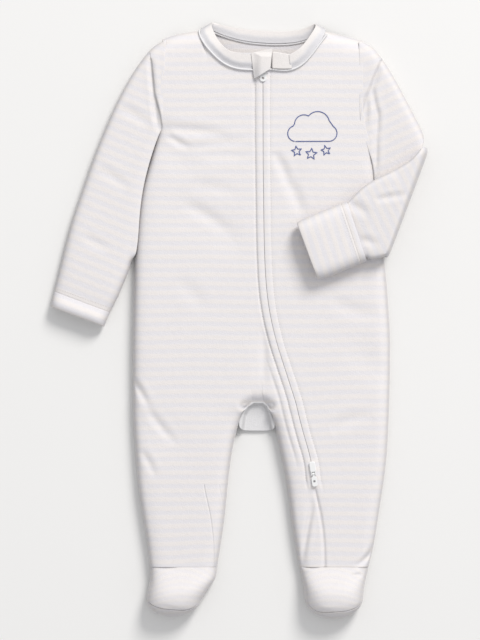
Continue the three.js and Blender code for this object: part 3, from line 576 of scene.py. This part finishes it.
def body_panel(name, levels, creases=(), plackets=False):
    mesh = soft_copy(name, levels)
    points = points_of(mesh)
    map_cloth(mesh, points[:, 0], body_along(points))
    upper = smooth_step(points[:, 2], 6.5, 12)
    if creases:
        points[:, 2] += upper * crease_height(points, creases)
        soften_arch(points)
    if plackets:
        points[:, 2] += upper * placket_ridge(points)
        off_zip = points[:, 0] - zip_at(points[:, 1]) + np.where(points[:, 1] < placket_end, 99, 0)
        across = mesh.attributes.new("across_zip", "FLOAT", "POINT")
        across.data.foreach_set("value", off_zip.astype(np.float32))
    move_points(mesh, points)
    name_of_piece = name.replace("panel", "cloth") + "_soft"
    piece = add_piece(name_of_piece, mesh, [body_fleece, lit_inner_fleece], [name])
    return piece


front_left = body_panel("front_left", 3, body_creases, True)
front_right = body_panel("front_right", 3, body_creases, True)
back = body_panel("back_panel", 2)

# %% [markdown]
# The crotch gusset is a small plain piece that crosses the fork between the legs. Its edges turn up to meet
# the rolled edges of the fronts, and its middle lies low, like a shallow bowl with a flat lower lip. The
# underlap is a tab inside the neck: it is moved up and aside a little, so it tucks against the band.

# %% Gusset and the underlap inside the neck
def plain_panel(name, levels, material, shift, reshape):
    mesh = soft_copy(name, levels, reach=0.8)
    points = points_of(mesh)
    map_cloth(mesh, points[:, 0], 0.1 * points[:, 1] + shift)
    reshape(points)
    move_points(mesh, points)
    piece = add_piece(name + "_soft", mesh, [material, material], [name])
    return piece


def bowl(points):
    points[:, 1] = -90.2 + 0.85 * (points[:, 1] + 90.2)
    inside = distance_to(points[:, :2], fork_edge)
    points[:, 2] += 4.6 * (1 - smooth_step(inside, 1.5, 6.0)) + 1.0


def tucked(points):
    points[:, 0] += 1.3 * smooth_step(points[:, 0], 45, 51)
    points[:, 2] += 0.5


# Its grey colour is painted shade of the low bowl under the arch.
gusset = plain_panel("crotch_gusset", 3, shaded_gusset_fleece, 0.0, bowl)
underlap = plain_panel("neck_underlap", 2, shaded_band_fleece, -18.5, tucked)

# %% [markdown]
# ## The sleeves
# The left sleeve hangs straight, so its stripes cross it square to its length. The right sleeve is folded at
# the elbow and its forearm lies back over the chest: the stripes turn with the cloth. Round the fold the
# two directions are blended by height, which keeps the pattern unbroken as it comes over the top.

# %% Sleeves
def from_line(points, line):
    """Distance in mm from a line through picture pixels, with a minus sign on its left side."""
    line = np.array([from_picture(x, y) for x, y in line])
    best, signed = np.full(len(points), 1e9), np.full(len(points), 1e9)
    for a, b in zip(line[:-1], line[1:]):
        run = b - a
        t = np.clip((points[:, :2] - a) @ run / (run @ run), 0, 1)
        away = points[:, :2] - (a + t[:, None] * run)
        d = np.hypot(away[:, 0], away[:, 1])
        side = np.where(run[0] * away[:, 1] - run[1] * away[:, 0] > 0, -1, 1)
        nearer = d < best
        best, signed = np.where(nearer, d, best), np.where(nearer, side * d, signed)
    return signed


def lap_over(points, line, shift, top):
    """Brings a sleeve's edge against the body: sideways by shift, and up where it had rolled down."""
    near = np.exp(-((distance_to(points[:, :2], np.array(line)) / 5) ** 2)) * (points[:, 2] < top)
    points[:, 0] += shift * near
    rolled = np.maximum(13.4 - points[:, 2], 0) * (points[:, 2] > 4.4)
    points[:, 2] += 0.8 * near * rolled


def sleeve_piece(name, along, outside, creases=(), tuck=None, reach=0.7, puff=None, lap=None):
    mesh = soft_copy(name, 3, reach=reach)
    points = points_of(mesh)
    map_cloth(mesh, points[:, 0], along(points))
    if tuck:
        line, bottom, top = tuck
        hidden = (points[:, 2] < bottom) | (points[:, 2] > top)
        signed = np.where(hidden, 99, from_line(points, line))
        mesh.attributes.new("from_tuck", "FLOAT", "POINT").data.foreach_set("value", signed.astype(np.float32))
    if puff:
        points[:, 2] *= puff(points)
    if lap:
        lap_over(points, *lap)
    for rows, bottom, top in creases:
        share = smooth_step(points[:, 2], bottom, bottom + 4) * (1 - smooth_step(points[:, 2], top, top + 1.5))
        points[:, 2] += share * crease_height(points, rows)
    move_points(mesh, points)
    return add_piece(name + "_soft", mesh, [outside, lit_inner_fleece], [name])


def left_sleeve_along(points):
    return 0.363 * points[:, 0] + 0.932 * points[:, 1] - 94.5


def upper_arm_along(points):
    return -0.407 * points[:, 0] + 0.914 * points[:, 1] - 113.4


def forearm_along(points):
    return 1.03 * (0.899 * points[:, 0] + 0.438 * points[:, 1] - 166.6)


def turned_cuff_along(points):
    return 0.951 * points[:, 0] + 0.309 * points[:, 1] - 108.8


fold_shift = -12 * 8.85
left_tuck = [(151.0, 60), (151.6, 64), (153.8, 96), (157.2, 116), (159.3, 134)]
right_tuck = [(380, 62), (372.5, 79.7), (366.7, 100.4), (363.6, 123), (362.6, 134)]


def cuff_puff(points):
    """The band stands a little open at the hand."""
    return 1 + 0.24 * smooth_step(-(0.34 * points[:, 0] + 0.94 * points[:, 1]), 31, 44)


def right_sleeve_along(points):
    over = smooth_step(points[:, 2], 15, 26)
    return (1 - over) * upper_arm_along(points) + over * (forearm_along(points) + fold_shift)


left_edge = [(-72.6, 272.4), (-75.9, 185.6), (-79.8, 177.5), (-86.6, 157), (-92.6, 135), (-96.2, 112),
             (-97.7, 92), (-98.7, 74), (-99.6, 66)]
right_edge = [(122.2, 271.2), (121.8, 205), (124, 186), (129.8, 170), (134.4, 153.6), (136, 144), (137.6, 122),
              (140.4, 98)]
sleeve_left = sleeve_piece("sleeve_left", left_sleeve_along, left_arm_fleece, [(left_sleeve_creases, 6, 40)],
                           (left_tuck, 8, 40), lap=(left_edge, 3.4, 40))
sleeve_right = sleeve_piece("sleeve_right", right_sleeve_along, right_arm_fleece,
                            [(upper_arm_creases, 6, 15.2), (forearm_creases, 23, 60)], (right_tuck, 8, 16),
                            lap=(right_edge, -4.4, 16.6))

# %% [markdown]
# The left cuff is a doubled band. The right cuff is a mitten cuff turned back over the forearm, with a
# narrow hem of its own: the hem is a separate piece that goes with the cuff.

# %% Cuffs
cuff_left = sleeve_piece("cuff_band_left", left_sleeve_along, cuff_fleece, reach=0.45, puff=cuff_puff)
hem_right = sleeve_piece("cuff_hem_right", turned_cuff_along, cuff_fleece, reach=0.3)
cuff_right = sleeve_piece("cuff_turned_right", turned_cuff_along, cuff_fleece, reach=0.3)

# %% [markdown]
# ## The feet
# Each foot is a vamp on top and a sole below that turns up over the toe. The vamp is cut on a curve, so its
# stripes arch across the foot, closer together than on the body because the cloth is seen sloping.

# %% Feet
def foot_piece(name, levels, middle):
    mesh = soft_copy(name, levels, reach=0.25)
    points = points_of(mesh)
    arch = 0.0125 - 0.006 * smooth_step(-points[:, 1], 245, 275)
    map_cloth(mesh, points[:, 0], points[:, 1] + arch * (points[:, 0] - middle) ** 2)
    points[:, 2] += smooth_step(points[:, 2], 9, 13) * crease_height(points, foot_creases)
    move_points(mesh, points)
    piece = add_piece(name + "_soft", mesh, [foot_fleece, lit_inner_fleece], [name])
    return piece


for side, middle in (("left", -54.2), ("right", 90.8)):
    foot_piece("sole_" + side, 3, middle)
    foot_piece("vamp_" + side, 3, middle)

# %% [markdown]
# ## The neck
# The neckband is a folded strip: its stripes run along it, cream at the free edge and lavender at the seam,
# where the lavender also stands for painted shade. So its pattern follows the distance from the seam, which
# a short table of the seam's points gives.

# %% Neckband and chin guard
neck_seam = np.array([
    (15.2, 243.2, 17.1), (2, 243.8, 17.1), (-7.5, 246.5, 17.1), (-15.6, 251.4, 17.1), (-23.5, 258.9, 17.1),
    (-31, 267.4, 16.9), (-36.4, 277.4, 14.2), (-38, 283, 8.6), (-32.4, 284.4, 3.4), (-21, 279.8, 2.2),
    (0, 272.4, 2.1), (20.3, 269.6, 2.1), (44.5, 268.6, 2.1), (65, 271.2, 2.1), (75.6, 277.4, 2.4),
    (83, 284.6, 3.4), (87.4, 283.4, 8.6), (86, 277.2, 15), (77.8, 266.2, 17.5), (69.4, 254.6, 17.1),
    (61, 246.8, 17.1), (51.4, 242.4, 17.1),
])


mesh = soft_copy("neckband", 3, reach=0.25)
points = points_of(mesh)
from_seam = distance_to(points, neck_seam)
map_cloth(mesh, points[:, 0], from_seam - 2.5)
drop = np.where(points[:, 2] > 6, 1.7, 0.7) * (1 - smooth_step(from_seam, 0.5, 6.5))
points[:, 2] = np.maximum(points[:, 2] - drop, 0.05)
move_points(mesh, points)
neckband = add_piece("neckband_soft", mesh, [shaded_band_fleece, shaded_band_fleece], ["neckband"])

mesh = soft_copy("chin_guard", 3)
points = points_of(mesh)
map_cloth(mesh, points[:, 0], 5.5 + 0.12 * (points[:, 1] - 250))
left_share = smooth_step(-points[:, 0], -24, -15)
low_share = smooth_step(-points[:, 1], -252, -240)
points[:, 1] -= 1.5 * low_share * smooth_step(-points[:, 0], -33, -17)
lying = 17.5 - 1.5 * low_share * left_share
edge = np.maximum(left_share, smooth_step(points[:, 1], 255, 260))
points[:, 2] += edge * (lying + 0.2 * (points[:, 2] - 17.8) - points[:, 2])
move_points(mesh, points)
chin_guard = add_piece("chin_guard_soft", mesh, [shaded_band_fleece, shaded_band_fleece], ["chin_guard"])

# %% [markdown]
# Along the seam below the neckband runs a welt: a narrow rolled edge of the same fleece that catches the
# light. It is a curve with a round section, made a mesh, and it rests on the seam of the front.

# %% Neck welt
def rope(name, path, radius, material):
    """A round cord of cloth along a path in mm."""
    curve = bpy.data.curves.new(name, "CURVE")
    curve.dimensions, curve.bevel_depth, curve.bevel_resolution = "3D", radius * MM, 3
    curve.use_fill_caps = True
    curve.resolution_u = 6
    spline = curve.splines.new("NURBS")
    spline.points.add(len(path) - 1)
    spline.order_u, spline.use_endpoint_u = 4, True
    for point, (x, y, z) in zip(spline.points, path):
        point.co = (x * MM, y * MM, z * MM, 1)
    holder = bpy.data.objects.new(name + "_curve", curve)
    bpy.context.scene.collection.objects.link(holder)
    mesh = bpy.data.meshes.new_from_object(holder.evaluated_get(bpy.context.evaluated_depsgraph_get()))
    bpy.data.objects.remove(holder)
    for face in mesh.polygons:
        face.use_smooth = True
    points = points_of(mesh)
    if "cloth" not in mesh.uv_layers:
        map_cloth(mesh, points[:, 0], np.zeros(len(points)))
    return add_piece(name, mesh, [material])


neck_middle = np.array((25.0, 278.0))


def outside_seam(points, away, level):
    """The seam's points, moved away from the middle of the neck, at a level."""
    moved = []
    for x, y, z in points:
        out = np.array((x, y)) - neck_middle
        out /= np.hypot(*out)
        moved.append((x + away * out[0], y + away * out[1], level + min(z - 17.1, 0)))
    return moved


left_welt = [(33.5, 243.2, 15.5), (25, 243.0, 15.4)] + outside_seam(neck_seam[:7], 0.5, 15.5)
left_welt += [(-36.2, 281.0, 8.6)]
right_welt = [(34.0, 243.2, 15.5), (43.5, 242.0, 15.5)]
right_welt += outside_seam(neck_seam[:-6:-1], 0.5, 15.5)
rope("neck_welt_left", left_welt, 1.0, plain_fleece)
rope("neck_welt_right", right_welt, 1.0, plain_fleece)

# %% [markdown]
# Inside, below the back of the band, a narrow tape covers the neck seam. It is the same rolled shape, because
# only its rounded upper side can be seen.

# %% Neck tape
neck_tape = [(-26, 281.6, 1.9), (-20.0, 278.5, 1.5), (0, 271.5, 1.2), (20.3, 268.6, 1.2), (44.5, 267.6, 1.2),
             (65, 270.2, 1.2), (74.2, 275.6, 1.6), (79, 281, 2.2)]
# The tape takes the brightened inside fleece: painted light in the shade under the band.
rope("neck_tape", neck_tape, 1.7, lit_inner_fleece)

# %% [markdown]
# ## Stitches
# A line of machine stitching is hundreds of short thread beads in a row, each pulled a little into the cloth.
# One helper lays beads along any path: it drops each from above onto the finished cloth with a ray, so
# the beads sit on what carries them, whatever its creases do. Each bead is a low sphere of 30 faces.

# %% Stitch helper
def surface_of(*pieces):
    bm = bmesh.new()
    for piece in pieces:
        bm.from_mesh(piece.data)
    found = BVHTree.FromBMesh(bm)
    bm.free()
    return found


def evenly(path, gap):
    """Points a gap apart along a path of (x, y) in mm, and the direction at each."""
    path = np.asarray(path, dtype=float)
    steps = np.hypot(*np.diff(path, axis=0).T)
    at = np.concatenate([[0], np.cumsum(steps)])
    wanted = np.arange(gap / 2, at[-1], gap)
    spots = np.column_stack([np.interp(wanted, at, path[:, 0]), np.interp(wanted, at, path[:, 1])])
    ahead = np.column_stack([np.interp(wanted + 0.2, at, path[:, 0]), np.interp(wanted + 0.2, at, path[:, 1])])
    behind = np.column_stack([np.interp(wanted - 0.2, at, path[:, 0]), np.interp(wanted - 0.2, at, path[:, 1])])
    return spots, ahead - behind


def lay_stitches(bm, path, surface, gap=2.6, length=2.0, width=0.5, height=0.36, slant=0.0, sink=0.1):
    """Thread beads along a path on a surface; slant turns each bead across the path, in degrees."""
    spots, runs = evenly(path, gap)
    laid = 0
    for (x, y), run in zip(spots, runs):
        hit, normal, _, _ = surface.ray_cast(Vector((x, y, 80)) * MM, Vector((0, 0, -1)))
        if hit is None:
            continue
        forward = Vector((run[0], run[1], 0)).normalized()
        forward = Matrix.Rotation(math.radians(slant), 3, "Z") @ forward
        forward = (forward - normal * forward.dot(normal)).normalized()
        across = normal.cross(forward)
        turned = Matrix((forward, across, normal)).transposed().to_4x4()
        size = Matrix.Diagonal((length / 2 * MM, width / 2 * MM, height / 2 * MM, 1))
        spot = Matrix.Translation(hit + normal * (height / 2 - sink) * MM)
        bmesh.ops.create_uvsphere(bm, u_segments=6, v_segments=5, radius=1, matrix=spot @ turned @ size)
        laid += 1
    return laid


def thread_piece(name, bm, material):
    mesh = bpy.data.meshes.new(name)
    for face in bm.faces:
        face.smooth = True
    bm.to_mesh(mesh)
    bm.free()
    return add_piece(name, mesh, [material])


def thread(name, colour):
    """Spun thread: fine slanting plies across each bead and a soft shine."""
    material, tree, shader = new_material(name)
    place = put(tree, "ShaderNodeTexCoord")
    plies = put(tree, "ShaderNodeTexWave", {"Vector": place.outputs["Object"], "Scale": 700.0,
                                            "Distortion": 2.0, "Detail": 1.0}, bands_direction="DIAGONAL")
    tone = put(tree, "ShaderNodeMapRange", {"Value": plies.outputs["Fac"], "To Min": 0.82, "To Max": 1.0})
    bump = put(tree, "ShaderNodeBump", {"Height": plies.outputs["Fac"], "Strength": 0.4, "Distance": 0.0001})
    feed(tree, shader, {"Base Color": shaded(tree, colour, tone.outputs[0]),
                        "Normal": bump.outputs["Normal"]})
    shader.inputs["Roughness"].default_value = 0.6
    shader.inputs["Sheen Weight"].default_value = 0.1
    return material


pale_thread = thread("pale_thread", (0.80, 0.775, 0.76, 1))
blue_thread = thread("blue_thread", (0.098, 0.134, 0.345, 1))

# %% [markdown]
# The placket is topstitched on both sides of the zip, about 7 mm from it, as far as the zip's lower end; from
# there to the ankle only the seam goes on. The rows are offset from the zip's own line, so they stay parallel to it.

# %% Stitches along the zip
def beside_zip(offset, top, bottom):
    y = np.arange(top, bottom, -2.0)
    return np.column_stack([zip_at(y) + offset, y])


fronts = surface_of(front_left, front_right)
rows = bmesh.new()
count = lay_stitches(rows, beside_zip(-7.4, 238, placket_end), fronts)
count += lay_stitches(rows, beside_zip(7.2, 238, placket_end), fronts)
thread_piece("placket_stitches", rows, pale_thread)
print(count, "placket stitches")

# %% [markdown]
# The cuff band and the turned-back cuff are each closed by one line of stitching, a few millimetres from the
# edge. These lines run straight across the flattened tube, so two points are enough for each.

# %% Stitches on the cuffs
def between(a, b, inset=0.03):
    a, b = np.array(a, dtype=float), np.array(b, dtype=float)
    return [a + (b - a) * inset, b - (b - a) * inset]


rows = bmesh.new()
cuffs = surface_of(cuff_left, sleeve_left)
count = lay_stitches(rows, between((-175.4, 33.0), (-120.8, 13.2)), cuffs)
turned = surface_of(cuff_right, hem_right)
count += lay_stitches(rows, between((98.0, 112.6), (117.6, 55.4)), turned)
thread_piece("cuff_stitches", rows, pale_thread)
print(count, "cuff stitches")

# %% [markdown]
# ## The embroidery
# A small line drawing in slate-blue thread sits on the chest beside the zip. Here it is a plain cloud with
# three stars under it. The line is stem stitch: short beads that overlap along the line and slant across
# it a little. A tube along the line would be quicker, but it would look like a wire.

# %% Cloud and stars
def arc(centre, radius, start, end):
    turns = np.radians(np.linspace(start, end, 24))
    return np.column_stack([centre[0] + radius * np.cos(turns), centre[1] + radius * np.sin(turns)])


def star(centre, radius, turn):
    spikes = []
    for i in range(11):
        reach = radius if i % 2 == 0 else radius * 0.46
        a = math.radians(turn + 90 + 36 * i)
        spikes.append((centre[0] + reach * math.cos(a), centre[1] + reach * math.sin(a)))
    return spikes


cloud = np.vstack([
    arc((56.5, 181.5), 7.6, 262, 108), arc((64.5, 190.5), 9.0, 176, 62), arc((77.8, 191.5), 11.2, 138, 14),
    arc((88.5, 181.8), 7.8, 56, -84), [(88.5, 174.0), (56.5, 173.9)],
])
surface = surface_of(front_right)
rows = bmesh.new()
stem = dict(gap=0.95, length=2.0, width=0.95, height=0.6, slant=16, sink=0.1)
count = lay_stitches(rows, cloud, surface, **stem)
for centre, radius, turn in (((57.5, 164.5), 5.0, 8), ((71.5, 161.8), 5.6, -6), ((85.6, 165.2), 4.8, 12)):
    count += lay_stitches(rows, star(centre, radius, turn), surface, **stem)
thread_piece("cloud_embroidery", rows, blue_thread)
print(count, "embroidery stitches")

# %% [markdown]
# ## The zip
# Under the slot between the fronts lies a coil zip: two rows of tiny plastic loops that hook into each other,
# sewn on woven tapes. The loops are beads set to the left and right in turn along the zip's line.

# %% Zip teeth
def satin_plastic(name, colour, roughness):
    material, tree, shader = new_material(name)
    place = put(tree, "ShaderNodeTexCoord")
    flow = put(tree, "ShaderNodeTexNoise", {"Vector": place.outputs["Object"], "Scale": 420.0, "Detail": 3.0})
    tone = put(tree, "ShaderNodeMapRange", {"Value": flow.outputs["Fac"], "To Min": 0.95, "To Max": 1.0})
    gloss = put(tree, "ShaderNodeMapRange", {"Value": flow.outputs["Fac"], "To Min": roughness - 0.06,
                                             "To Max": roughness + 0.08})
    bump = put(tree, "ShaderNodeBump", {"Height": flow.outputs["Fac"], "Strength": 0.15, "Distance": 0.0001})
    feed(tree, shader, {"Base Color": shaded(tree, colour, tone.outputs[0]), "Roughness": gloss.outputs[0],
                        "Normal": bump.outputs["Normal"]})
    return material


coil_plastic = satin_plastic("coil_plastic", (0.62, 0.61, 0.62, 1), 0.4)
slider_plastic = satin_plastic("slider_plastic", (0.90, 0.90, 0.895, 1), 0.32)

teeth = bmesh.new()
tooth_gap = 1.3
coil_drop = 2.9
for i, y in enumerate(np.arange(252.0, -132.0, -tooth_gap)):
    hit, _, _, _ = fronts.ray_cast(Vector((zip_at(y) - 3.0, y, 80)) * MM, Vector((0, 0, -1)))
    level = (hit.z / MM if hit else 14.5) - coil_drop
    side = 0.55 if i % 2 else -0.55
    spot = Matrix.Translation(Vector((zip_at(y) + side, y, level)) * MM)
    size = Matrix.Diagonal((1.0 * MM, 0.5 * MM, 0.75 * MM, 1))
    bmesh.ops.create_uvsphere(teeth, u_segments=6, v_segments=5, radius=1, matrix=spot @ size)
mesh = bpy.data.meshes.new("zip_teeth")
for face in teeth.faces:
    face.smooth = True
teeth.to_mesh(mesh)
teeth.free()
zip_teeth = add_piece("zip_teeth", mesh, [coil_plastic], ["zip_coil"])

# %% [markdown]
# The tapes, sliders and pull tab are rigid or flat and their CAD shape is right, so they stay as they are
# and only get a finish: a fine ribbed weave for the tape and satin moulded plastic for the sliders.

# %% Finish for the CAD nodes that stay
def woven_tape(name, colour):
    material, tree, shader = new_material(name)
    place = put(tree, "ShaderNodeTexCoord")
    ribs = put(tree, "ShaderNodeTexWave", {"Vector": place.outputs["Object"], "Scale": 620.0,
                                           "Distortion": 0.6}, bands_direction="Y")
    cross = put(tree, "ShaderNodeTexWave", {"Vector": place.outputs["Object"], "Scale": 480.0,
                                            "Distortion": 0.6}, bands_direction="X")
    both = put(tree, "ShaderNodeMath", {0: ribs.outputs["Fac"], 1: cross.outputs["Fac"]}, operation="MULTIPLY")
    tone = put(tree, "ShaderNodeMapRange", {"Value": both.outputs[0], "To Min": 0.86, "To Max": 1.0})
    bump = put(tree, "ShaderNodeBump", {"Height": both.outputs[0], "Strength": 0.5, "Distance": 0.0003})
    feed(tree, shader, {"Base Color": shaded(tree, colour, tone.outputs[0]),
                        "Normal": bump.outputs["Normal"]})
    shader.inputs["Roughness"].default_value = 0.8
    return material


tape_weave = woven_tape("woven_tape", (0.84, 0.835, 0.84, 1))
finishes = {"zip_tape_left": tape_weave, "zip_tape_right": tape_weave, "lower_slider": slider_plastic,
            "upper_slider": slider_plastic, "pull_tab": slider_plastic}
for name, material in finishes.items():
    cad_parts[name].data.materials.clear()
    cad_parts[name].data.materials.append(material)
print("finished:", ", ".join(finishes))
